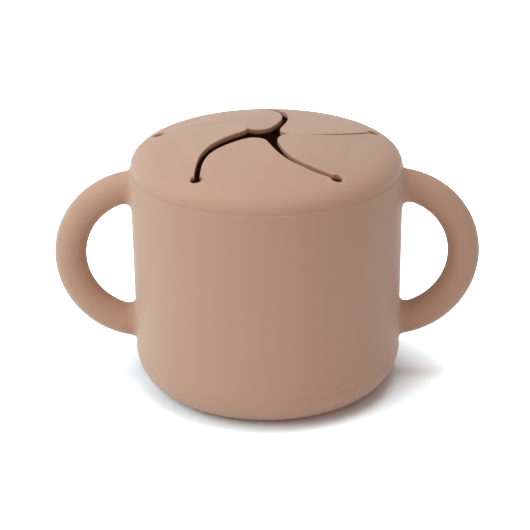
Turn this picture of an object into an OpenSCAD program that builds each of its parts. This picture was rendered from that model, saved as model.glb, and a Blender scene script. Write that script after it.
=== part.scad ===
// Two-handled snack cup for a toddler, moulded in soft silicone.
// A stretch-on lid closes it. Five curved slits cut the lid into flaps that bend in or out
// round a small hand and then close over the food again.
// Millimetres. The origin is the middle of the foot, +Z is up, the handles lie along X
// and the front faces -Y.

/* [Cup] */
// Outside diameter at the seam under the lid
cup_top_d = 86; // [80:0.5:94]
// How much further in the side stands at the bottom rounding than at the seam
cup_draft = 0.5; // [-3:0.1:3]
// Height from the table to the seam
cup_h = 72.6; // [66:0.2:90]
// Thickness of the side wall
wall_t = 2.8; // [2:0.1:3.4]
// Thickness of the floor
floor_t = 3; // [2:0.1:5]
// Radius of the rounding between the side and the floor
base_round = 12.2; // [8:0.1:16]
// Width of the ring that the cup stands on
foot_w = 5; // [3:0.5:9]
// Depth of the recess inside that ring
foot_recess = 0.8; // [0.3:0.1:1.2]
// Rounding of the shoulder edge at the seam
shoulder_round = 0.5; // [0.2:0.1:1]

/* [Neck] */
// Thickness of the neck that the lid stretches over
neck_t = 2; // [1.4:0.1:2.4]
// How far the neck's bead stands out under the lid's lip
bead_out = 0.4; // [0.2:0.1:0.8]
// Height over which the inside narrows from the wall to the neck
neck_blend_h = 4; // [2:0.5:8]

/* [Handles] */
// Diameter of the round grip
grip_d = 10.1; // [7:0.1:12]
// Diameter of the loop, measured on the grip's centre line
loop_d = 47; // [40:0.5:52]
// How far the loop's centre lies inside the cup's wall
loop_inset = 3.7; // [1:0.1:8]
// Height of the loop's centre below the seam
loop_drop = 29.6; // [28:0.1:34]
// Length of the flare where the grip runs into the wall
root_len = 3; // [1.5:0.5:5]
// Fillet of the flare inside the loop
root_inner = 3; // [1.5:0.1:4]
// Fillet of the flare outside the loop
root_outer = 1.2; // [0.6:0.1:1.4]

/* [Lid] */
// Thickness of the lid and its flaps
lid_t = 1.7; // [1.3:0.1:2.1]
// Straight part of the skirt above the seam
skirt_h = 0.4; // [0.3:0.1:2]
// Thickness of the skirt at the lip that grips the neck
lip_t = 2.1; // [1.9:0.1:2.8]
// Height of the lip
lip_h = 0.8; // [0.5:0.1:1]
// Width of the lid's rounded edge, seen from above
edge_w = 11.3; // [9:0.1:14]
// Height of the lid's rounded edge
edge_h = 6.45; // [5.5:0.05:9]
// Angle round that edge at which the dome takes over
edge_turn = 60; // [56:1:72]
// How flat the dome is in the middle: 2 makes a plain bowl, more makes it flatter
dome_power = 3.6; // [2:0.1:5]

/* [Flaps] */
// Diameter of the circle through the round slit ends
slit_circle_d = 72; // [66:0.2:74]
// Diameter of the round hole that ends each slit
slit_end_d = 3.2; // [3:0.1:4]
// How far a slit bows sideways between its ends
slit_bow = 6.1; // [4:0.1:8]
// How far the deepest point of the bow is drawn outwards
slit_skew = 0.6; // [0:0.05:1.2]
// How much further each side of a slit stands off towards the middle of the lid
slit_gape = 1.4; // [0:0.1:2.4]
// Rounding of a flap's tip
tip_round = 5.2; // [3:0.1:6]
// Width of the two front slits and the back slit at their round ends
slit_wide = 1.8; // [1.2:0.1:2.4]
// Width of the left and right slits at their round ends
slit_narrow = 1; // [0.8:0.05:1.4]
// How high the left flap's tip stands, in degrees
tilt_left = 7.5; // [-4:0.5:12]
// How high the front flap's tip stands, in degrees
tilt_front = 4.5; // [-4:0.5:12]
// How high the front right flap's tip stands, in degrees
tilt_front_right = 4; // [-4:0.5:12]
// How high the two back flaps' tips stand, in degrees
tilt_back = 1.5; // [-4:0.5:12]

/* [Clearances] */
// Gap between the cup and the lid
lid_gap = 0.3; // [0.3:0.05:0.5]
// Gap at the line where a flap bends out of the lid
bend_gap = 0.3; // [0.3:0.05:0.5]
// Radius of the flap's edge at that line
bend_r = 1.6; // [1.55:0.05:1.9]

/* [Hidden] */
$fn = 96;
skin = [0.76, 0.60, 0.50];
skin_lid = [0.78, 0.62, 0.52];
skin_flap = [0.80, 0.64, 0.54];
eps = 0.05;

// Cup
cup_top_r = cup_top_d / 2;
cup_base_r = cup_top_r - cup_draft;
foot_r = cup_base_r - base_round;
recess_r = foot_r - foot_w;

// Lid: the outer edge is a quarter of an ellipse, and a shallow dome closes it without a crease
lid_z = cup_h + lid_gap;
edge_z = lid_z + skirt_h;
edge_r = cup_top_r - edge_w;
dome_r = edge_r + edge_w * cos(edge_turn);
dome_z = edge_z + edge_h * sin(edge_turn);
dome_slope = edge_h / edge_w * cos(edge_turn) / sin(edge_turn);
dome_h = dome_slope * dome_r / dome_power;
under_r = edge_r + (edge_w - lid_t) * cos(edge_turn);
under_z = edge_z + (edge_h - lid_t) * sin(edge_turn);
under_h = dome_z + dome_h - lid_t - under_z;
crown_z = dome_z + dome_h;

// Neck: its bead clears the lid's lip, and its rim stays below the lid
lip_r = cup_top_r - lip_t;
bead_r = lip_r - lid_gap;
neck_r = bead_r - bead_out;
neck_in_r = neck_r - neck_t;
under_neck = sqrt(1 - pow((neck_r - edge_r) / (edge_w - lid_t), 2));
rim_z = edge_z + (edge_h - lid_t) * under_neck;
bead_z = cup_h + lip_h;
bead_h = rim_z - neck_t / 2 - bead_z;

// Handles
loop_r = loop_d / 2;
grip_r = grip_d / 2;
loop_x = cup_top_r - loop_inset;
loop_z = cup_h - loop_drop;
root_angle = acos(loop_inset / loop_r);
root_shift = (root_inner - root_outer) / 2;
root_drop = loop_r * (sin(root_angle) - sin(acos((loop_inset + root_len) / loop_r)));
root_end_r = grip_r - abs(root_shift - root_drop) - eps;

// Slits and flaps: a flap spans the 72 degrees between two slits and bends along the chord
// between their round ends
slit_r = slit_circle_d / 2;
sector = 360 / 5;
chord_x = slit_r * cos(sector / 2);
chord_sink = 0.9 * lid_t;
chord_z = lid_top(chord_x) - chord_sink;
chord_l = 2 * slit_r * sin(sector / 2);
front_left = 234;
front_right = 306;
right = 18;
back = 90;
left = 162;
slit_inner = -0.4; // u at which a flap's outline starts, past the middle
slit_outer = 4 / 3; // u at which it ends, past the round end
slit_n = 52;
through = crown_z;
far = cup_top_d;

// Points of an arc in n steps, from angle a to angle b
function arc(x, z, r, a, b, n) =
    [for (i = [0:n]) let (t = a + (b - a) * i / n) [x + r * cos(t), z + r * sin(t)]];

// Height of the lid's top and underside at radius r from the axis, inside the rounded edge
function lid_top(r) = dome_z + dome_h * (1 - pow(r / dome_r, dome_power));
function lid_under(r) = under_z + under_h * (1 - pow(r / under_r, dome_power));

// Outside radius of the cup's side at height z
function wall_r(z) = cup_base_r + (cup_top_r - cup_base_r) * (z - base_round) / (cup_h - base_round);

// Sideways place and slope of a slit, where u runs from 0 at the middle to 1 at its round end
function slit_y(u) = -slit_bow * sin(180 * u) + slit_skew * sin(360 * u);
function slit_slope(u) = PI / slit_r * (-slit_bow * cos(180 * u) + 2 * slit_skew * cos(360 * u));

// Point of the slit's edge that lies at a distance from its middle line, which grows by
// the gape from the round end to the middle
function slit_edge(u, away) =
    let (m = slit_slope(u), l = sqrt(1 + m * m),
         a = away + sign(away) * slit_gape * pow(min(1, max(0, 1 - u)), 2))
    [u * slit_r - a * m / l, slit_y(u) + a / l];

// The outside of the cup up to the seam, as a solid that the handles are cut to
module cup_outside() {
    rotate_extrude()
        polygon(concat(
            [[0, 0]],
            arc(foot_r, base_round, base_round, -90, 0, 16),
            [[cup_top_r, cup_h], [cup_top_r, cup_h + grip_d], [0, cup_h + grip_d]]));
}

module cup_shell() {
    inner_top_r = cup_top_r - wall_t;
    inner_base_r = cup_base_r - wall_t;
    inner_round = base_round - wall_t;
    color(skin)
        rotate_extrude()
            polygon(concat(
                // foot, bottom rounding and side
                [[0, foot_recess], [recess_r, foot_recess], [recess_r + foot_recess, 0]],
                arc(foot_r, base_round, base_round, -90, 0, 16),
                arc(cup_top_r - shoulder_round, cup_h - shoulder_round, shoulder_round, 0, 90, 4),
                // neck with its bead and rounded rim
                [[neck_r, cup_h]],
                [for (i = [0:8]) [neck_r + bead_out * sin(180 * i / 8), bead_z + bead_h * i / 8]],
                arc(neck_r - neck_t / 2, rim_z - neck_t / 2, neck_t / 2, 10, 180, 10),
                // inside: the neck widens to the wall, then the inner rounding and the floor
                [for (i = [0:8]) let (k = (1 - cos(180 * i / 8)) / 2)
                    [neck_in_r + (inner_top_r - neck_in_r) * k, cup_h - neck_blend_h * i / 8]],
                arc(inner_base_r - inner_round, floor_t + inner_round, inner_round, 0, -90, 14),
                [[0, floor_t]]));
}

// The flare at one root: a trumpet square to the wall, set into the loop so that its inner
// fillet is the larger. top is 1 for the upper root and -1 for the lower one.
module root_flare(top) {
    root_z = loop_z + top * loop_r * sin(root_angle);
    wall_x = wall_r(root_z);
    root_x = sqrt(pow(wall_x, 2) - pow(grip_r, 2));
    mouth_r = grip_r + (root_inner + root_outer) / 2;
    translate([root_x, 0, root_z - top * root_shift])
        rotate([0, 90, 0])
            rotate_extrude()
                polygon(concat(
                    [[0, -root_len], [mouth_r, -root_len]],
                    [for (i = [0:8]) let (t = 90 * i / 8)
                        [root_end_r + (mouth_r - root_end_r) * (1 - sin(t)), root_len * (1 - cos(t))]],
                    [[0, root_len]]));
}

// A loop of round grip on the +X side, cut to the cup's wall
module handle() {
    reach = 2 * root_angle + 30;
    difference() {
        union() {
            translate([loop_x, 0, loop_z])
                rotate([90, 0, 0])
                    rotate([0, 0, -reach / 2])
                        rotate_extrude(angle = reach)
                            translate([loop_r, 0])
                                circle(r = grip_r);
            for (top = [-1, 1])
                root_flare(top);
        }
        cup_outside();
    }
}

module handle_left() {
    color(skin)
        mirror([1, 0, 0])
            handle();
}

module handle_right() {
    color(skin)
        handle();
}

// The whole lid before the slits are cut
module lid_shell() {
    edge_n = 16;
    dome_n = 16;
    rotate_extrude()
        polygon(concat(
            // outside: lower edge, rounded edge and dome
            arc(cup_top_r - lid_gap, lid_z + lid_gap, lid_gap, -90, 0, 4),
            [for (i = [0:edge_n]) let (t = edge_turn * i / edge_n)
                [edge_r + edge_w * cos(t), edge_z + edge_h * sin(t)]],
            [for (i = [1:dome_n]) let (r = dome_r * (1 - i / dome_n)) [r, lid_top(r)]],
            // inside: dome, rounded edge and the lip that grips the neck
            [for (i = [0:dome_n - 1]) let (r = under_r * i / dome_n) [r, lid_under(r)]],
            [for (i = [0:edge_n]) let (t = edge_turn * (1 - i / edge_n))
                [edge_r + (edge_w - lid_t) * cos(t), edge_z + (edge_h - lid_t) * sin(t)]],
            [[lip_r, lid_z + lip_h / 2], [lip_r, lid_z]]));
}

// One slit's side: everything that lies counterclockwise (side 1) or clockwise (side -1) of it
module slit_side(angle, side, width) {
    rotate(angle)
        polygon(concat(
            [for (i = [0:slit_n])
                slit_edge(slit_inner + (slit_outer - slit_inner) * i / slit_n, side * width / 2)],
            [[slit_outer * slit_r, side * far], [slit_inner * slit_r, side * far]]));
}

// A flap's outline from above, open towards the rim, with its tip rounded
module flap_outline(from, to, from_w, to_w) {
    offset(r = tip_round, $fn = 64)
        offset(delta = -tip_round)
            intersection() {
                slit_side(from, 1, from_w);
                slit_side(to, -1, to_w);
            }
}

// The line that a flap bends along, as a round bar
module bend_bar(angle, r) {
    rotate([0, 0, angle])
        translate([chord_x, 0, chord_z])
            rotate([90, 0, 0])
                cylinder(r = r, h = chord_l, center = true);
}

// The round holes at the ends of the slits
module slit_ends() {
    for (angle = [front_left, front_right, right, back, left])
        rotate([0, 0, angle])
            translate([slit_r, 0, edge_z])
                cylinder(d = slit_end_d, h = through);
}

module lid_ring() {
    color(skin_lid)
        difference() {
            lid_shell();
            translate([0, 0, edge_z])
                rotate([0, 0, back])
                    cylinder(r = slit_r, h = through, $fn = 5);
            for (angle = [front_left, front_right, right, back, left])
                bend_bar(angle + sector / 2, bend_r + bend_gap);
            slit_ends();
        }
}

// The flap between two slits, raised by its tilt about the line that it bends along
module flap(from, to, from_w, to_w, tilt) {
    middle = from + sector / 2;
    rotate([0, 0, middle])
        translate([chord_x, 0, chord_z])
            rotate([0, tilt, 0])
                translate([-chord_x, 0, -chord_z])
                    rotate([0, 0, -middle])
                        difference() {
                            intersection() {
                                lid_shell();
                                translate([0, 0, edge_z])
                                    linear_extrude(through)
                                        flap_outline(from, to, from_w, to_w);
                                union() {
                                    rotate([0, 0, middle])
                                        translate([chord_x - far, -far / 2, edge_z])
                                            cube([far, far, through]);
                                    bend_bar(middle, bend_r);
                                }
                            }
                            slit_ends();
                        }
}

module flap_front() {
    color(skin_flap)
        flap(front_left, front_right, slit_wide, slit_wide, tilt_front);
}

module flap_front_right() {
    color(skin_flap)
        flap(front_right, right, slit_wide, slit_narrow, tilt_front_right);
}

module flap_back_right() {
    color(skin_flap)
        flap(right, back, slit_narrow, slit_wide, tilt_back);
}

module flap_back_left() {
    color(skin_flap)
        flap(back, left, slit_wide, slit_narrow, tilt_back);
}

module flap_left() {
    color(skin_flap)
        flap(left, front_left, slit_narrow, slit_wide, tilt_left);
}

cup_shell();
handle_left();
handle_right();
lid_ring();
flap_front();
flap_front_right();
flap_back_right();
flap_back_left();
flap_left();
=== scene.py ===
from math import asin, atan2, cos, hypot, pi, radians, sin, sqrt, tan

import bmesh
import bpy
import numpy as np
from mathutils import Matrix, Vector
from mathutils.geometry import delaunay_2d_cdt


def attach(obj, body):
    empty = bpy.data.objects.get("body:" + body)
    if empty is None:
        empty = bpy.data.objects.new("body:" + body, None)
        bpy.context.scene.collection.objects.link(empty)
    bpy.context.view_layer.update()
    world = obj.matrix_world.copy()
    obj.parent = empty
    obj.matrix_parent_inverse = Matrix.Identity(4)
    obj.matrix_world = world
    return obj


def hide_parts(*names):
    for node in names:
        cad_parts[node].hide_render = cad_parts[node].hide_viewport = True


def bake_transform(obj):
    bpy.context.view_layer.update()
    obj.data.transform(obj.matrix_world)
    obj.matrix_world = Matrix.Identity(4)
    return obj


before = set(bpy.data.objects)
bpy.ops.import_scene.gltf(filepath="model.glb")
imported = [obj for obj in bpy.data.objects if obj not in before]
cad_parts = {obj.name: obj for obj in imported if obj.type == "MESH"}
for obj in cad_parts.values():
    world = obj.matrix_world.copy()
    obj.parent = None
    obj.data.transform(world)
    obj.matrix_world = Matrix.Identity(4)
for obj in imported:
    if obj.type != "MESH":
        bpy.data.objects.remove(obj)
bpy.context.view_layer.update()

MM = 0.001

# ---------------------------------------------------------------- sizes, in millimetres
# Cup
TOP_R = 43.0
CUP_DRAFT = 0.5
BASE_R = TOP_R - CUP_DRAFT
CUP_H = 72.6
WALL = 2.8
FLOOR = 3.0
BASE_ROUND = 12.2
FOOT_W = 5.0
FOOT_RECESS = 0.8
FOOT_EDGE = 0.4
SHOULDER_ROUND = 0.35
PARTING_Z = 11.9
PARTING_H = 0.16
PARTING_W = 0.45
NECK = 2.0
BEAD_OUT = 0.4
NECK_BLEND_H = 4.0
# Inner corners at the neck's foot and the lid's lip: reach, and how full the middle point is
CORNER = 0.3
CORNER_MID = 0.08
# Handles: the loop's centre lies in from the cup's side, and each root flares into the wall
GRIP_R = 5.05
LOOP_R = 23.497
LOOP_INSET = 3.7
LOOP_DOWN = 29.6
ROOT_IN = 3.6
ROOT_OUT = 1.5
# Lid
GAP = 0.3
SEAM_GAP = 0.01
SEAM_LEDGE = 0.25
SEAM_ROUND = 0.04
LID_T = 1.7
LID_Z = CUP_H + GAP
EDGE_FOOT = 0.4
EDGE_Z = LID_Z + EDGE_FOOT
EDGE_W = 11.3
EDGE_H = 6.45
EDGE_TURN = radians(60)
DOME_POWER = 3.6
LIP_IN = 2.1
LIP_H = 0.8
# Slits
SLIT_R = 35.85
SLIT_END_R = 1.85
SLIT_BOW = 6.1
SLIT_SKEW = 0.62
SLIT_GAPE = 1.4
TIP_R = 5.2
BEND_ONSET = 4.0
LEAN_ONSET = 18.0
SECTOR = 72.0
# Rounding of the slits' edges, above and below
ROUND_TOP = 0.32
ROUND_UNDER = 0.2
ROUND_CLOSED = 0.12
# A slit narrower than this lies closed
CLOSED = 0.5

FRONT_LEFT, FRONT_RIGHT, RIGHT, BACK, LEFT = 234, 306, 18, 90, 162
# Width of each slit at its round end
SLITS = {FRONT_LEFT: 1.8, FRONT_RIGHT: 1.6, RIGHT: 0.25, BACK: 1.4, LEFT: 0.1}
# Flap: the slits on its two sides, how high its tip stands, and how far it leans to one side,
# both in degrees
FLAPS = {
    "flap_front": (FRONT_LEFT, FRONT_RIGHT, 4.4, 2.7),
    "flap_front_right": (FRONT_RIGHT, RIGHT, 3.7, 0.9),
    "flap_back_right": (RIGHT, BACK, 1.3, -1.7),
    "flap_back_left": (BACK, LEFT, 1.4, 2.6),
    "flap_left": (LEFT, FRONT_LEFT, 6.4, 6.6),
}
# How much steeper a flap rises at its bend than at its tip
BULGE = 0.63

# Spacing of the lid's mesh: along a cut edge, along a bend line, and over the skin, whose rows
# are ROW times as far apart as the points in a row
EDGE_STEP = 0.4
CHORD_STEP = 0.8
GRID_STEP = 1.1
ROW = 0.866
# How far the lid's points keep clear of the skin's edge and of the bend lines: rows, then grid
ROW_CLEAR, ROW_CLEAR_BEND = 0.25, 0.12
GRID_CLEAR, GRID_CLEAR_BEND, GRID_CLEAR_ROW = 0.6, 0.5, 0.4
# Steps of everything turned about the axis
TURN_N = 320
# Circle where the lid's skin ends and its turned edge begins
SKIN_R = 39.4
# Where the turned inside of the edge begins above the lip, in radians
UNDER_START = 0.08

# ---------------------------------------------------------------- colours
TAN = (0.5, 0.243, 0.14)
# Painted shade: the skin colour is multiplied by this on the cut faces and on the cup's inside
PAINTED_SHADE_TINT = (0.96, 0.78, 0.66)
CLOUD = 0.025

# ---------------------------------------------------------------- studio
COOL = (0.785, 1.015, 1.08)
COOL_TOP = (0.89, 1.02, 1.08)
WARM = (1, 0.885, 0.79)
FLOOR_HALF = 6.0
FLOOR_WHITE = 0.86
# The floor as seen: how much brighter than it lights, its tint, its own glow, and how far and
# how fast that glow fades towards the cup, which paints a contact shadow
FLOOR_GAIN = 1.32
FLOOR_TINT = (0.96, 1.0, 1.04)
FLOOR_GLOW = 2.0
SHADE_REACH = 0.048
SHADE_POWER = 3.9
# Light from all round, and more from the camera's side
ROUND_LIGHT = 0.1
FRONT_LIGHT = 0.63
FRONT = (-0.22, -0.975, 0)
LAMP_AWAY = 1.2
LAMP_AIM_Z = 0.04
# Lamp: azimuth and elevation in degrees, side in metres, power in watts, colour
LAMPS = {
    "key": (213, 44, 0.8, 5.9, COOL),
    "side": (190, 32, 1.0, 2.0, COOL),
    "rim": (150, 35, 1.0, 2.2, COOL),
    "top": (330, 86, 0.6, 5.8, COOL_TOP),
}

LOOP_X = TOP_R - LOOP_INSET
LOOP_Z = CUP_H - LOOP_DOWN
LIP_R = TOP_R - LIP_IN
edge_r = TOP_R - EDGE_W
dome_r = edge_r + EDGE_W * cos(EDGE_TURN)
dome_z = EDGE_Z + EDGE_H * sin(EDGE_TURN)
dome_h = EDGE_H / EDGE_W / tan(EDGE_TURN) * dome_r / DOME_POWER
under_w = EDGE_W - LID_T
under_edge_h = EDGE_H - LID_T
under_r = edge_r + under_w * cos(EDGE_TURN)
under_z = EDGE_Z + under_edge_h * sin(EDGE_TURN)
under_h = dome_z + dome_h - LID_T - under_z
neck_r = LIP_R - GAP - BEAD_OUT
neck_in_r = neck_r - NECK
rim_z = EDGE_Z + under_edge_h * sqrt(1 - ((neck_r - edge_r) / under_w) ** 2)
chord_x = SLIT_R * cos(radians(SECTOR / 2))


def lid_top(r):
    """Height of the lid's top at radius r."""
    r = np.asarray(r, float)
    k = np.clip((r - edge_r) / EDGE_W, 0, 1)
    rim = EDGE_Z + EDGE_H * np.sqrt(1 - k * k)
    return np.where(r < dome_r, dome_z + dome_h * (1 - (r / dome_r) ** DOME_POWER), rim)


def lid_under(r):
    """Height of the lid's underside at radius r."""
    r = np.asarray(r, float)
    k = np.clip((r - edge_r) / under_w, 0, 1)
    rim = EDGE_Z + under_edge_h * np.sqrt(1 - k * k)
    return np.where(r < under_r, under_z + under_h * (1 - (r / under_r) ** DOME_POWER), rim)


# ---------------------------------------------------------------- small tools
def arc(x, z, r, a, b, n):
    """Points of an arc from angle a to angle b, in degrees."""
    return [(x + r * cos(radians(a + (b - a) * i / n)), z + r * sin(radians(a + (b - a) * i / n)))
            for i in range(n + 1)]


def line(p, q, n):
    """n points from p towards q, without q."""
    return [(p[0] + (q[0] - p[0]) * i / n, p[1] + (q[1] - p[1]) * i / n) for i in range(n)]


def circle(centre, r, angles):
    """Points of a circle at some angles, in radians."""
    return np.array([[centre[0] + r * cos(t), centre[1] + r * sin(t)] for t in angles])


def revolved(r, z):
    """Points of a level circle about the axis."""
    turns = [2 * pi * i / TURN_N for i in range(TURN_N)]
    return [(r * cos(t), r * sin(t), z) for t in turns]


def mesh_object(name, verts, faces, sharp_pairs=(), cut=None):
    """A smooth mesh object from points in millimetres. cut is 1 on cut faces and on the cup's
    inside, 0 on the skin: the mask of the painted shade.
    """
    mesh = bpy.data.meshes.new(name)
    mesh.from_pydata([tuple(c * MM for c in v) for v in verts], [], faces)
    mesh.validate()
    mesh.polygons.foreach_set("use_smooth", [True] * len(mesh.polygons))
    if len(sharp_pairs):
        wanted = {frozenset(p) for p in sharp_pairs}
        for e in mesh.edges:
            if frozenset(e.vertices) in wanted:
                e.use_edge_sharp = True
    mesh.update()
    values = np.zeros(len(verts), np.float32)
    if cut is not None:
        values[:len(cut)] = cut
    mesh.attributes.new("cut", "FLOAT", "POINT").data.foreach_set("value", values)
    obj = bpy.data.objects.new(name, mesh)
    bpy.context.scene.collection.objects.link(obj)
    return obj


def outward(obj):
    """Turns all faces of a closed piece outwards."""
    bm = bmesh.new()
    bm.from_mesh(obj.data)
    bmesh.ops.recalc_face_normals(bm, faces=bm.faces)
    bm.to_mesh(obj.data)
    bm.free()


def lathe(name, profile, shaded_inside_from):
    """A closed revolve of a profile that starts and ends on the axis. Its inside, from one point
    of the profile on, gets the painted shade of the cut faces."""
    n = TURN_N
    verts, faces, rings = [], [], []
    for r, z in profile:
        if r < 1e-6:
            rings.append([len(verts)])
            verts.append((0, 0, z))
        else:
            rings.append(list(range(len(verts), len(verts) + n)))
            verts += revolved(r, z)
    for a, b in zip(rings, rings[1:]):
        for i in range(n):
            j = (i + 1) % n
            if len(a) == 1:
                faces.append((a[0], b[j], b[i]))
            elif len(b) == 1:
                faces.append((a[i], a[j], b[0]))
            else:
                faces.append((a[i], a[j], b[j], b[i]))
    cut = np.arange(len(verts)) >= rings[shaded_inside_from][0]
    return mesh_object(name, verts, faces, cut=cut)


# ---------------------------------------------------------------- cup
def wall_r(z):
    """Radius of the cup's side at height z."""
    return BASE_R + (TOP_R - BASE_R) * (z - BASE_ROUND) / (CUP_H - BASE_ROUND)


def cup():
    """The cup as one profile. The last number of each arc or line is its number of steps."""
    foot_r = BASE_R - BASE_ROUND
    recess_r = foot_r - FOOT_W
    inner_round = BASE_ROUND - WALL
    inner_base_r = BASE_R - WALL
    inner_top_r = TOP_R - WALL

    def ridged(r, z):
        """The mould's parting line is a fine ridge near the top of the bottom rounding."""
        return r + PARTING_H * np.exp(-((z - PARTING_Z) / (PARTING_W / 2)) ** 2), z

    def outer_r(z):
        """Radius of the outside, down round the bottom."""
        turn = BASE_ROUND - z
        return wall_r(z) if turn < 0 else foot_r + sqrt(BASE_ROUND ** 2 - turn ** 2)

    low, high = PARTING_Z - 2 * PARTING_W, PARTING_Z + 2 * PARTING_W
    turn_low = -90 + np.degrees(np.arccos((BASE_ROUND - low) / BASE_ROUND))
    bottom = arc(foot_r, BASE_ROUND, BASE_ROUND, -90, turn_low, 50)
    side = [ridged(outer_r(z), z) for z in np.linspace(low, high, 30)[1:]]
    side += [(wall_r(z), z) for z in np.linspace(high, CUP_H - SHOULDER_ROUND, 56)[1:-1]]
    bead_z = CUP_H + LIP_H
    bead_h = rim_z - NECK / 2 - bead_z
    profile = (
        line((0, FOOT_RECESS), (recess_r, FOOT_RECESS), 6)
        + arc(recess_r, FOOT_RECESS - FOOT_EDGE, FOOT_EDGE, 90, 0, 4)
        + arc(recess_r + 2 * FOOT_EDGE, FOOT_EDGE, FOOT_EDGE, 180, 270, 4)
        + line((recess_r + 3 * FOOT_EDGE, 0), (foot_r, 0), 3)[1:]
        + bottom + side
        + arc(TOP_R - SHOULDER_ROUND, CUP_H - SHOULDER_ROUND, SHOULDER_ROUND, 0, 90, 10)
        + [(neck_r + CORNER, CUP_H), (neck_r + CORNER_MID, CUP_H + CORNER_MID),
           (neck_r, CUP_H + CORNER)]
        + [(neck_r + BEAD_OUT * sin(pi * i / 12), bead_z + bead_h * i / 12) for i in range(13)]
        + arc(neck_r - NECK / 2, rim_z - NECK / 2, NECK / 2, 10, 180, 16)
    )
    # from here on, the cup's inside gets the painted shade of the cut faces
    shaded_inside_from = len(profile)
    # the straight wall begins a little under the blend from the neck
    straight_z = CUP_H - NECK_BLEND_H - 2
    profile += (
        [(neck_in_r + (inner_top_r - neck_in_r) * (1 - cos(pi * i / 16)) / 2,
          CUP_H - NECK_BLEND_H * i / 16) for i in range(17)]
        + line((inner_top_r, straight_z), (inner_base_r, FLOOR + inner_round), 20)
        + arc(inner_base_r - inner_round, FLOOR + inner_round, inner_round, 0, -90, 24)
        + line((inner_base_r - inner_round, FLOOR), (0, FLOOR), 5)[1:] + [(0, FLOOR)]
    )
    return lathe("cup_body", profile, shaded_inside_from)


# ---------------------------------------------------------------- handles
def handle(name, side):
    """A round loop whose ends run into the cup's wall with a fillet, larger inside the loop."""
    around, along, fillet_n = 64, 150, 14

    def tube(theta, phi):
        r = LOOP_R + GRIP_R * cos(theta)
        return np.array([LOOP_X + r * cos(phi), GRIP_R * sin(theta), LOOP_Z + r * sin(phi)])

    def hit(theta, end):
        """Angle along the loop at which a line of the tube meets the wall."""
        low, high = radians(50), radians(100)
        for _ in range(40):
            mid = (low + high) / 2
            p = tube(theta, end * mid)
            if hypot(p[0], p[1]) > wall_r(p[2]):
                low = mid
            else:
                high = mid
        return low

    columns = []
    for i in range(around):
        theta = 2 * pi * i / around
        reach = (ROOT_IN + ROOT_OUT) / 2 - (ROOT_IN - ROOT_OUT) / 2 * cos(theta)
        radius = LOOP_R + GRIP_R * cos(theta)
        halves = []
        for end in (-1, 1):
            wall = hit(theta, end)
            start = wall - reach / radius
            p0, p1 = tube(theta, end * start), tube(theta, end * wall)
            centre = np.array([LOOP_X + LOOP_R * cos(wall), 0, LOOP_Z + end * LOOP_R * sin(wall)])
            away = p1 - centre
            radial = np.array([p1[0], p1[1], 0]) / hypot(p1[0], p1[1])
            away = away - radial * away.dot(radial)
            p2 = p1 + away / np.linalg.norm(away) * reach
            scale = wall_r(p2[2]) / hypot(p2[0], p2[1])
            p2 = np.array([p2[0] * scale, p2[1] * scale, p2[2]])
            curve = [(1 - t) ** 2 * p0 + 2 * t * (1 - t) * p1 + t * t * p2
                     for t in np.linspace(0, 1, fillet_n + 1)[1:]]
            # a last ring, drawn in by these shares, closes the piece inside the wall
            in_x, in_y = 0.985, 0.9
            curve.append(np.array([p2[0] * in_x, p2[1] * in_y, p2[2]]))
            halves.append((start, curve))
        (low, curve_low), (high, curve_high) = halves
        middle = [tube(theta, phi) for phi in np.linspace(-low, high, along)]
        columns.append(curve_low[::-1] + middle + curve_high)
    rows = len(columns[0])
    verts, faces = [], []
    for j in range(rows):
        row = [columns[i][j] for i in range(around)]
        verts += [(side * x, y, z) for x, y, z in row]
    for j in range(rows - 1):
        for i in range(around):
            k = (i + 1) % around
            here, above = j * around, (j + 1) * around
            faces.append((here + i, here + k, above + k, above + i))
    for j in (0, rows - 1):
        faces.append(tuple(j * around + i for i in range(around)))
    sharp = []
    for j in (0, 1, rows - 2, rows - 1):
        sharp += [(j * around + i, j * around + (i + 1) % around) for i in range(around)]
    obj = mesh_object(name, verts, faces, sharp)
    outward(obj)
    return obj


# ---------------------------------------------------------------- lid
def turned(points, angle):
    """Points turned about the axis by an angle in degrees."""
    c, s = cos(radians(angle)), sin(radians(angle))
    return points @ np.array([[c, s], [-s, c]])


def slit_edge(u, away):
    """Points of a slit's edge; away is its distance from the middle line at the round end, and the
    gape adds to it towards the middle. u is 0 at the middle and 1 at the round end."""
    away = away + np.sign(away) * SLIT_GAPE * np.clip(1 - u, 0, 1) ** 2
    y = -SLIT_BOW * np.sin(pi * u) + SLIT_SKEW * np.sin(2 * pi * u)
    m = pi / SLIT_R * (-SLIT_BOW * np.cos(pi * u) + 2 * SLIT_SKEW * np.cos(2 * pi * u))
    length = np.sqrt(1 + m * m)
    return np.stack([u * SLIT_R - away * m / length, y + away / length], 1)


def slit_end(angle):
    """Centre of a slit's round end."""
    return turned(np.array([[SLIT_R, 0.0]]), angle)[0]


def crossing(a, b):
    """Where polyline a first crosses polyline b: the place along each, and the point."""
    for i in range(len(a) - 1):
        d = a[i + 1] - a[i]
        e = b[1:] - b[:-1]
        w = b[:-1] - a[i]
        det = d[0] * e[:, 1] - d[1] * e[:, 0]
        det = np.where(np.abs(det) < 1e-12, 1e-12, det)
        s = (w[:, 0] * e[:, 1] - w[:, 1] * e[:, 0]) / det
        t = (w[:, 0] * d[1] - w[:, 1] * d[0]) / det
        ok = np.nonzero((s >= 0) & (s <= 1) & (t >= 0) & (t <= 1))[0]
        if len(ok):
            return i, int(ok[0]), a[i] + d * s[ok[0]]
    raise ValueError("the two lines do not cross")


def resample(points, step):
    """The same line with evenly spaced points."""
    d = np.r_[0, np.cumsum(np.hypot(*np.diff(points, axis=0).T))]
    n = max(2, int(round(d[-1] / step)) + 1)
    t = np.linspace(0, d[-1], n)
    return np.stack([np.interp(t, d, points[:, k]) for k in (0, 1)], 1)


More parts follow.
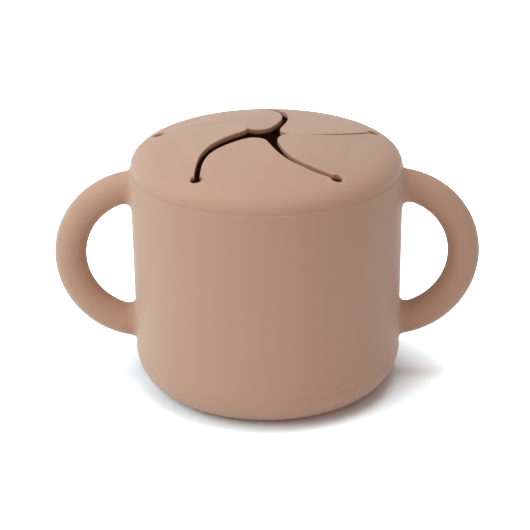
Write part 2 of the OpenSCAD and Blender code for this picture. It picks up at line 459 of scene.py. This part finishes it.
def flap_edge(from_slit, to_slit):
    """A flap's free edge seen from above, in five pieces: out of one round end, along its slit,
    round the tip, back along the other slit, and into its round end."""
    u = np.linspace(1.1, -0.3, 900)
    a_away, b_away = SLITS[from_slit] / 2, -SLITS[to_slit] / 2
    a_in = turned(slit_edge(u, a_away + TIP_R), from_slit)
    b_in = turned(slit_edge(u, b_away - TIP_R), to_slit)
    i, j, centre = crossing(a_in, b_in)
    a = turned(slit_edge(u, a_away), from_slit)[: i + 1]
    b = turned(slit_edge(u, b_away), to_slit)[: j + 1]
    a_hole, b_hole = slit_end(from_slit), slit_end(to_slit)
    a = a[first_outside(a, a_hole):]
    b = b[first_outside(b, b_hole):]
    a0 = atan2(*(a[-1] - centre)[::-1])
    b0 = atan2(*(b[-1] - centre)[::-1])
    while b0 > a0:
        b0 -= 2 * pi
    tip = circle(centre, TIP_R, np.linspace(a0, b0, 60))
    return hole_arc(a_hole, a[0], b_hole), a, tip, b[::-1], hole_arc(b_hole, b[0], a_hole)[::-1]


def first_outside(points, hole):
    """First point, coming from beyond the round end, that has passed it and left its circle."""
    away = np.hypot(*(points - hole).T)
    nearest = int(np.argmin(away))
    return nearest + int(np.argmax(away[nearest:] > SLIT_END_R))


def hole_arc(hole, to_point, other_hole):
    """The round end's circle from the bend line to the slit's edge."""
    d = other_hole - hole
    a0 = atan2(d[1], d[0])
    a1 = atan2(to_point[1] - hole[1], to_point[0] - hole[0])
    while a1 - a0 > pi:
        a1 -= 2 * pi
    while a1 - a0 < -pi:
        a1 += 2 * pi
    return circle(hole, SLIT_END_R, np.linspace(a0, a1, 8))


def joined(*lines):
    """Lines end to end, without repeated points."""
    out = [np.asarray(lines[0])]
    for piece in lines[1:]:
        out.append(piece[1:] if np.hypot(*(piece[0] - out[-1][-1])) < 1e-6 else piece)
    return np.concatenate(out)


def distance(points, lines):
    """Distance of each point from the nearest of some lines."""
    best = np.full(len(points), 1e9)
    for l in lines:
        a, b = l[:-1], l[1:]
        d = b - a
        dd = np.maximum((d ** 2).sum(1), 1e-12)
        for k in range(0, len(points), 2000):
            q = points[k:k + 2000]
            t = np.clip(((q[:, None] - a[None]) * d[None]).sum(2) / dd, 0, 1)
            c = a[None] + d[None] * t[..., None]
            m = np.sqrt(((q[:, None] - c) ** 2).sum(2)).min(1)
            best[k:k + 2000] = np.minimum(best[k:k + 2000], m)
    return best


def inside(points, loop):
    """Which points lie in a closed loop."""
    x, y = points[:, 0], points[:, 1]
    hit = np.zeros(len(points), bool)
    for (x0, y0), (x1, y1) in zip(loop, np.roll(loop, -1, 0)):
        c = ((y0 > y) != (y1 > y))
        with np.errstate(divide="ignore", invalid="ignore"):
            hit ^= c & (x < (x1 - x0) * (y - y0) / (y1 - y0) + x0)
    return hit


# Distances of the rows of points from a cut edge: over its rounding, then wider apart
BAND = [ROUND_TOP * (1 - cos(radians(a))) for a in (25, 50, 70, 90)] + [0.55, 0.95, 1.5, 2.2]


def drop(e, radius):
    """How far a rounded edge falls at a distance e from the cut."""
    k = np.clip(radius - e, 0, radius)
    return radius - np.sqrt(np.maximum(radius ** 2 - k ** 2, 0))


def normals(points):
    """Unit normals of a line at its points."""
    t = np.gradient(points, axis=0)
    return np.stack([-t[:, 1], t[:, 0]], 1) / np.hypot(*t.T)[:, None]


def edge_band(free, loop):
    """Points inside a loop beside its free edges, in rows that follow their rounding."""
    # a row may lie this share nearer to another part of the edge than to its own
    slack = 0.97
    rows = []
    for line_points in free:
        n = normals(line_points)
        for e in BAND:
            for s in (-1, 1):
                q = line_points + n * e * s
                q = q[inside(q, loop)]
                if len(q):
                    q = q[distance(q, free) > e * slack]
                if len(q):
                    rows.append(q)
    return np.concatenate(rows)


def staggered(lo, hi):
    """A triangular grid of points in a rectangle from corner lo to corner hi."""
    return np.array([(x, y) for j, y in enumerate(np.arange(lo[1], hi[1], GRID_STEP * ROW))
                     for x in np.arange(lo[0] + (j % 2) * GRID_STEP / 2, hi[0], GRID_STEP)])


def fill_grid(loop, free):
    """Points that fill the rest of a loop, clear of its edges."""
    pts = staggered(loop.min(0), loop.max(0))
    pts = pts[inside(pts, loop)]
    pts = pts[distance(pts, free) > BAND[-1] + GRID_STEP / 2]
    return pts[distance(pts, [np.vstack([loop, loop[:1]])]) > GRID_STEP / 2]


def sheet(loops, points):
    """Triangulates loops, the outer one first, with extra points. Returns the points, the
    triangles and each loop's indices."""
    verts = [Vector(p) for l in loops for p in l]
    edges, k = [], 0
    for l in loops:
        edges += [(k + i, k + (i + 1) % len(l)) for i in range(len(l))]
        k += len(l)
    verts += [Vector(p) for p in points]
    out, _, tris, origin, _, _ = delaunay_2d_cdt(verts, edges, [], 1, 1e-6)
    place = {}
    for new, olds in enumerate(origin):
        for old in olds:
            place[old] = new
    marks, k = [], 0
    for l in loops:
        marks.append([place[k + i] for i in range(len(l))])
        k += len(l)
    return np.array([(v.x, v.y) for v in out]), [tuple(t) for t in tris], marks


def bend(points, middle, tilt, lean):
    """Raises a flap inside its bend line: most of its rise comes soon after the bend."""
    c, s = cos(radians(middle)), sin(radians(middle))
    inward = chord_x - (points[:, 0] * c + points[:, 1] * s)
    aside = -points[:, 0] * s + points[:, 1] * c
    t = np.clip(inward / BEND_ONSET, 0, 1)
    rise = tan(radians(tilt)) * inward * (1 + BULGE * (1 - inward / chord_x))
    rise += tan(radians(lean)) * aside * np.clip(inward / LEAN_ONSET, 0, 1)
    return np.column_stack([points[:, :2], points[:, 2] + t * t * (3 - 2 * t) * rise])


def thick_skin(pts, tris, rim, e, top_round):
    """Points and faces between the lid's top and underside, with a wall along the rim. e is each
    point's distance from the cut edges, which are rounded."""
    r = np.hypot(pts[:, 0], pts[:, 1])
    top = np.column_stack([pts, lid_top(r) - drop(e, top_round)])
    low = np.column_stack([pts, lid_under(r) + drop(e, ROUND_UNDER)])
    n = len(pts)
    faces = list(tris) + [tuple(n + k for k in reversed(t)) for t in tris]
    for i in range(len(rim)):
        a, b = rim[i], rim[(i + 1) % len(rim)]
        faces.append((a, b, n + b, n + a))
    return np.concatenate([top, low]), faces


def flap(name, from_slit, to_slit, tilt, lean):
    """A flap as a thick skin with rounded cut edges, bent up out of the lid."""
    parts = [resample(p, EDGE_STEP) for p in flap_edge(from_slit, to_slit)]
    free_line = joined(*parts)
    chord = resample(np.array([free_line[-1], free_line[0]]), CHORD_STEP)
    loop = joined(free_line, chord)[:-1]
    holes = [hole_ring(from_slit), hole_ring(to_slit)]
    free = [free_line] + holes
    band = edge_band([free_line], loop)
    grid = fill_grid(loop, [free_line])
    pts, tris, (rim,) = sheet([loop], np.concatenate([band, grid]))
    e = distance(pts, free)
    free_count = len(free_line)
    e[rim[:free_count]] = 0
    sides = ((parts[1], from_slit), (parts[3], to_slit))
    closed = [p for p, slit in sides if SLITS[slit] < CLOSED]
    top_round = ROUND_TOP
    if closed:
        # the rounding is finer along a slit that lies closed
        away = np.clip(distance(pts, closed) - e, 0, 1)
        top_round = ROUND_CLOSED + (ROUND_TOP - ROUND_CLOSED) * away
    tris = [oriented(t, pts) for t in tris]
    verts, faces = thick_skin(pts, tris, rim, e, top_round)
    n, sharp = len(pts), []
    for i in range(free_count - 1, len(rim)):
        a, b = rim[i], rim[(i + 1) % len(rim)]
        sharp += [(a, b), (n + a, n + b)]
    verts = bend(verts, from_slit + SECTOR / 2, tilt, lean)
    obj = mesh_object(name, verts, faces, sharp, cut_shade_share(e))
    outward(obj)
    return obj


def cut_shade_share(e):
    """Mask of the painted shade: 1 on a cut face, falling to 0 just inside it, for the points
    above and then below.
    """
    return np.tile(np.clip(1 - e / ROUND_CLOSED, 0, 1), 2)


def oriented(tri, pts):
    """The triangle, counterclockwise."""
    a, b, c = (pts[k] for k in tri)
    turn = (b[0] - a[0]) * (c[1] - a[1]) - (b[1] - a[1]) * (c[0] - a[0])
    return tuple(tri) if turn > 0 else tuple(reversed(tri))


def hole_ring(angle):
    """The whole circle of a slit's round end."""
    return circle(slit_end(angle), SLIT_END_R, np.linspace(0, 2 * pi, 41))


def lid():
    """The lid outside the flaps: a thick skin from the bend lines to a lathe-turned edge."""
    inner, arcs = [], []
    order = [RIGHT, BACK, LEFT, FRONT_LEFT, FRONT_RIGHT]
    for k, angle in enumerate(order):
        after, before = order[(k + 1) % 5], order[k - 1]
        hole = slit_end(angle)
        to_after, to_before = slit_end(after) - hole, slit_end(before) - hole
        a0, a1 = atan2(to_before[1], to_before[0]), atan2(to_after[1], to_after[0])
        while a1 < a0:
            a1 += 2 * pi
        ring = circle(hole, SLIT_END_R, np.linspace(a0, a1, 28))
        arcs.append(ring)
        next_start = slit_end(after) - to_after / np.hypot(*to_after) * SLIT_END_R
        chord = resample(np.array([ring[-1], next_start]), CHORD_STEP)
        inner += [ring[:-1], chord[:-1]]
    inner_loop = np.concatenate(inner)
    outer_loop = np.array(revolved(SKIN_R, 0))[:, :2]
    rows = []
    for ring in arcs:
        n = normals(ring)
        for e in BAND:
            q = ring - n * e
            q = q[~inside(q, inner_loop)]
            if len(q):
                q = q[(np.hypot(*q.T) < SKIN_R - ROW_CLEAR)
                      & (distance(q, [inner_loop]) > ROW_CLEAR_BEND)]
            if len(q):
                rows.append(q)
    band = np.concatenate(rows)
    grid = staggered((-SKIN_R, -SKIN_R), (SKIN_R, SKIN_R))
    grid = grid[(np.hypot(*grid.T) < SKIN_R - GRID_CLEAR) & ~inside(grid, inner_loop)]
    closed = np.vstack([inner_loop, inner_loop[:1]])
    grid = grid[(distance(grid, [closed]) > GRID_CLEAR_BEND)
                & (distance(grid, arcs) > BAND[-1] + GRID_CLEAR_ROW)]
    pts, tris, (outer, rim) = sheet([outer_loop, inner_loop], np.concatenate([band, grid]))
    centres = [np.mean([pts[k] for k in t], 0) for t in tris]
    keep = ~inside(np.array(centres), inner_loop)
    tris = [oriented(t, pts) for t, ok in zip(tris, keep) if ok]
    e = distance(pts, arcs)
    start = 0
    on_arc = set()
    for k in range(5):
        arc_n, chord_n = len(inner[2 * k]), len(inner[2 * k + 1])
        on_arc |= set(range(start, start + arc_n + 1))
        start += arc_n + chord_n
    for k in on_arc:
        e[rim[k % len(rim)]] = 0
    verts, faces = thick_skin(pts, tris, rim, e, ROUND_TOP)
    verts = [tuple(v) for v in verts]
    n, sharp = len(pts), []
    for i in range(len(rim)):
        a, b = rim[i], rim[(i + 1) % len(rim)]
        if not (i in on_arc and (i + 1) in on_arc):
            sharp += [(a, b), (n + a, n + b)]
    # the rounded edge, the seam's edge, the lip and the inside, turned from the skin's edge
    t0 = asin(float((lid_top(SKIN_R) - EDGE_Z) / EDGE_H))
    t1 = asin(float((lid_under(SKIN_R) - EDGE_Z) / under_edge_h))
    # the edge draws in a little towards the seam, so the cup's rounded shoulder shows below it
    profile = [(edge_r + (EDGE_W - SEAM_LEDGE * (1 - sin(t) / sin(t0))) * cos(t),
                EDGE_Z + EDGE_H * sin(t))
               for t in np.linspace(t0, 0, 40)[1:]]
    seam_z = LID_Z - GAP + SEAM_GAP
    profile += arc(TOP_R - SEAM_LEDGE - SEAM_ROUND, seam_z + SEAM_ROUND, SEAM_ROUND, 0, -90, 6)
    profile += [(LIP_R + CORNER, seam_z), (LIP_R + CORNER_MID, seam_z + CORNER_MID),
                (LIP_R, seam_z + CORNER), (LIP_R, LID_Z + LIP_H / 2)]
    profile += [(edge_r + under_w * cos(t), EDGE_Z + under_edge_h * sin(t))
                for t in np.linspace(UNDER_START, t1, 24)[:-1]]
    ring = list(outer)
    for pr, pz in profile:
        new = list(range(len(verts), len(verts) + TURN_N))
        verts += revolved(pr, pz)
        for i in range(TURN_N):
            j = (i + 1) % TURN_N
            faces.append((ring[i], ring[j], new[j], new[i]))
        ring = new
    last = [n + k for k in outer]
    for i in range(TURN_N):
        j = (i + 1) % TURN_N
        faces.append((ring[i], ring[j], last[j], last[i]))
    obj = mesh_object("lid_skin", verts, faces, sharp, cut_shade_share(e))
    outward(obj)
    return obj


# ---------------------------------------------------------------- material
def silicone(name, colour):
    """Matte moulded silicone: soft cloudy colour, fine grain, dust-pale sheen."""
    mat = bpy.data.materials.new(name)
    mat.use_nodes = True
    nt = mat.node_tree
    bsdf = nt.nodes["Principled BSDF"]
    where = nt.nodes.new("ShaderNodeNewGeometry")
    cloud = nt.nodes.new("ShaderNodeTexNoise")
    cloud.inputs["Scale"].default_value = 45
    cloud.inputs["Detail"].default_value = 4
    mix = nt.nodes.new("ShaderNodeMix")
    mix.data_type = "RGBA"
    mix.inputs[6].default_value = (*[c * (1 - CLOUD) for c in colour], 1)
    mix.inputs[7].default_value = (*[c * (1 + CLOUD) for c in colour], 1)
    grain = nt.nodes.new("ShaderNodeTexNoise")
    grain.inputs["Scale"].default_value = 2600
    grain.inputs["Detail"].default_value = 3
    rough = nt.nodes.new("ShaderNodeMapRange")
    rough.inputs["To Min"].default_value = 0.52
    rough.inputs["To Max"].default_value = 0.64
    bump = nt.nodes.new("ShaderNodeBump")
    bump.inputs["Strength"].default_value = 0.12
    bump.inputs["Distance"].default_value = 0.00006
    nt.links.new(where.outputs["Position"], cloud.inputs["Vector"])
    nt.links.new(where.outputs["Position"], grain.inputs["Vector"])
    nt.links.new(cloud.outputs["Fac"], mix.inputs[0])
    # painted shade: the cut faces and the cup's inside are darkened and reddened, for the shade in
    # the slits and in the cup
    cut = nt.nodes.new("ShaderNodeAttribute")
    cut.attribute_name = "cut"
    painted_shade = nt.nodes.new("ShaderNodeMix")
    painted_shade.data_type = "RGBA"
    painted_shade.blend_type = "MULTIPLY"
    painted_shade.inputs[7].default_value = (*PAINTED_SHADE_TINT, 1)
    nt.links.new(cut.outputs["Fac"], painted_shade.inputs[0])
    nt.links.new(mix.outputs[2], painted_shade.inputs[6])
    nt.links.new(painted_shade.outputs[2], bsdf.inputs["Base Color"])
    nt.links.new(cloud.outputs["Fac"], rough.inputs["Value"])
    nt.links.new(rough.outputs["Result"], bsdf.inputs["Roughness"])
    nt.links.new(grain.outputs["Fac"], bump.inputs["Height"])
    nt.links.new(bump.outputs["Normal"], bsdf.inputs["Normal"])
    bsdf.inputs["Specular IOR Level"].default_value = 0.25
    bsdf.inputs["Subsurface Weight"].default_value = 0.3
    bsdf.inputs["Subsurface Radius"].default_value = (1.0, 0.35, 0.2)
    bsdf.inputs["Subsurface Scale"].default_value = 0.0012
    bsdf.inputs["Sheen Weight"].default_value = 0.23
    bsdf.inputs["Sheen Roughness"].default_value = 1.0
    return mat


# ---------------------------------------------------------------- studio
def seen_ray(nt):
    """1 for rays that show the background itself: camera, glossy and transmission rays."""
    path = nt.nodes.new("ShaderNodeLightPath")
    value = path.outputs["Is Camera Ray"]
    for name in ("Is Glossy Ray", "Is Transmission Ray"):
        either = nt.nodes.new("ShaderNodeMath")
        either.operation = "MAXIMUM"
        nt.links.new(value, either.inputs[0])
        nt.links.new(path.outputs[name], either.inputs[1])
        value = either.outputs[0]
    return value


def studio_floor():
    """A pale floor. It is seen brighter than it lights the cup, and whitest away from the cup;
    near the cup its fading glow is a painted contact shadow on top of the real one.
    """
    mesh = bpy.data.meshes.new("studio_floor")
    s = FLOOR_HALF
    mesh.from_pydata([(-s, -s, 0), (s, -s, 0), (s, s, 0), (-s, s, 0)], [], [(0, 1, 2, 3)])
    obj = bpy.data.objects.new("studio_floor", mesh)
    bpy.context.scene.collection.objects.link(obj)
    mat = bpy.data.materials.new("studio_floor")
    mat.use_nodes = True
    nt = mat.node_tree
    nt.nodes.clear()
    out = nt.nodes.new("ShaderNodeOutputMaterial")
    plain = nt.nodes.new("ShaderNodeBsdfDiffuse")
    plain.inputs["Color"].default_value = (*[FLOOR_WHITE] * 3, 1)
    bright = nt.nodes.new("ShaderNodeBsdfDiffuse")
    bright.inputs["Color"].default_value = (*[FLOOR_WHITE * FLOOR_GAIN * c for c in FLOOR_TINT], 1)
    # painted shadow: the glow seen by camera, glossy and transmission rays fades by ambient
    # occlusion near the cup
    open_sky = nt.nodes.new("ShaderNodeAmbientOcclusion")
    open_sky.inputs["Distance"].default_value = SHADE_REACH
    falloff = nt.nodes.new("ShaderNodeMath")
    falloff.operation = "POWER"
    falloff.inputs[1].default_value = SHADE_POWER
    level = nt.nodes.new("ShaderNodeMath")
    level.operation = "MULTIPLY"
    level.inputs[1].default_value = FLOOR_GLOW
    glow = nt.nodes.new("ShaderNodeEmission")
    add = nt.nodes.new("ShaderNodeAddShader")
    mix = nt.nodes.new("ShaderNodeMixShader")
    nt.links.new(open_sky.outputs["AO"], falloff.inputs[0])
    nt.links.new(falloff.outputs[0], level.inputs[0])
    nt.links.new(level.outputs[0], glow.inputs["Strength"])
    nt.links.new(bright.outputs[0], add.inputs[0])
    nt.links.new(glow.outputs[0], add.inputs[1])
    nt.links.new(seen_ray(nt), mix.inputs[0])
    nt.links.new(plain.outputs[0], mix.inputs[1])
    nt.links.new(add.outputs[0], mix.inputs[2])
    nt.links.new(mix.outputs[0], out.inputs["Surface"])
    mesh.materials.append(mat)


def studio_world():
    """A soft surround that is brighter on the camera's side, and a white background."""
    world = bpy.data.worlds.new("studio")
    bpy.context.scene.world = world
    world.use_nodes = True
    nt = world.node_tree
    nt.nodes.clear()
    out = nt.nodes.new("ShaderNodeOutputWorld")
    direction = nt.nodes.new("ShaderNodeTexCoord")
    facing = nt.nodes.new("ShaderNodeVectorMath")
    facing.operation = "DOT_PRODUCT"
    facing.inputs[1].default_value = FRONT
    half = nt.nodes.new("ShaderNodeMath")
    half.operation = "MAXIMUM"
    half.inputs[1].default_value = 0
    strength = nt.nodes.new("ShaderNodeMath")
    strength.operation = "MULTIPLY_ADD"
    strength.inputs[1].default_value = FRONT_LIGHT
    strength.inputs[2].default_value = ROUND_LIGHT
    fill = nt.nodes.new("ShaderNodeBackground")
    white = nt.nodes.new("ShaderNodeBackground")
    white.inputs["Color"].default_value = (1, 1, 1, 1)
    white.inputs["Strength"].default_value = 1
    fill.inputs["Color"].default_value = (*WARM, 1)
    mix = nt.nodes.new("ShaderNodeMixShader")
    nt.links.new(direction.outputs["Generated"], facing.inputs[0])
    nt.links.new(facing.outputs["Value"], half.inputs[0])
    nt.links.new(half.outputs[0], strength.inputs[0])
    nt.links.new(strength.outputs[0], fill.inputs["Strength"])
    nt.links.new(seen_ray(nt), mix.inputs[0])
    nt.links.new(fill.outputs[0], mix.inputs[1])
    nt.links.new(white.outputs[0], mix.inputs[2])
    nt.links.new(mix.outputs[0], out.inputs["Surface"])


def softbox(name, azimuth, elevation, size, power, colour):
    """A square area lamp that faces the cup."""
    data = bpy.data.lights.new(name, "AREA")
    data.shape = "RECTANGLE"
    data.size = data.size_y = size
    data.energy = power
    data.color = colour
    obj = bpy.data.objects.new(name, data)
    a, e = radians(azimuth), radians(elevation)
    target = Vector((0, 0, LAMP_AIM_Z))
    obj.location = target + LAMP_AWAY * Vector((cos(e) * cos(a), cos(e) * sin(a), sin(e)))
    obj.rotation_euler = (target - obj.location).to_track_quat("-Z", "Y").to_euler()
    bpy.context.scene.collection.objects.link(obj)


def camera():
    """The photograph's view: a long lens about 23 degrees above level."""
    elevation, away, aim_z, roll = radians(23.21), 0.65113, 0.038, radians(-0.474)
    focal_px, frame_px, sensor = 2028.19, 530, 36.0
    centre_x, centre_y = 267.255, 266.917
    data = bpy.data.cameras.new("camera")
    data.sensor_width = sensor
    data.lens = focal_px / frame_px * sensor
    data.shift_x = (frame_px / 2 - centre_x) / frame_px
    data.shift_y = (centre_y - frame_px / 2) / frame_px
    obj = bpy.data.objects.new("camera", data)
    target = Vector((0, 0, aim_z))
    obj.location = target + away * Vector((0, -cos(elevation), sin(elevation)))
    look = (target - obj.location).to_track_quat("-Z", "Y").to_matrix().to_4x4()
    spin = Matrix.Rotation(roll, 4, "Z")
    obj.matrix_world = Matrix.Translation(obj.location) @ look @ spin
    bpy.context.scene.collection.objects.link(obj)
    bpy.context.scene.camera = obj


# ---------------------------------------------------------------- the scene
bpy.context.scene.view_settings.view_transform = "Standard"
camera()
studio_floor()
studio_world()
for name, lamp in LAMPS.items():
    softbox(name, *lamp)

skin = silicone("tan_silicone", TAN)

body = cup()
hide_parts("cup_shell")
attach(body, "cup")
for name, side in (("handle_left", -1), ("handle_right", 1)):
    loop = handle(name + "_skin", side)
    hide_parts(name)
    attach(loop, "cup")
    loop.data.materials.append(skin)
body.data.materials.append(skin)

ring = lid()
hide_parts("lid_ring")
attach(ring, "lid")
ring.data.materials.append(skin)
for name, (from_slit, to_slit, tilt, lean) in FLAPS.items():
    petal = flap(name + "_skin", from_slit, to_slit, tilt, lean)
    petal.data.materials.append(skin)
    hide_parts(name)
    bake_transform(petal)
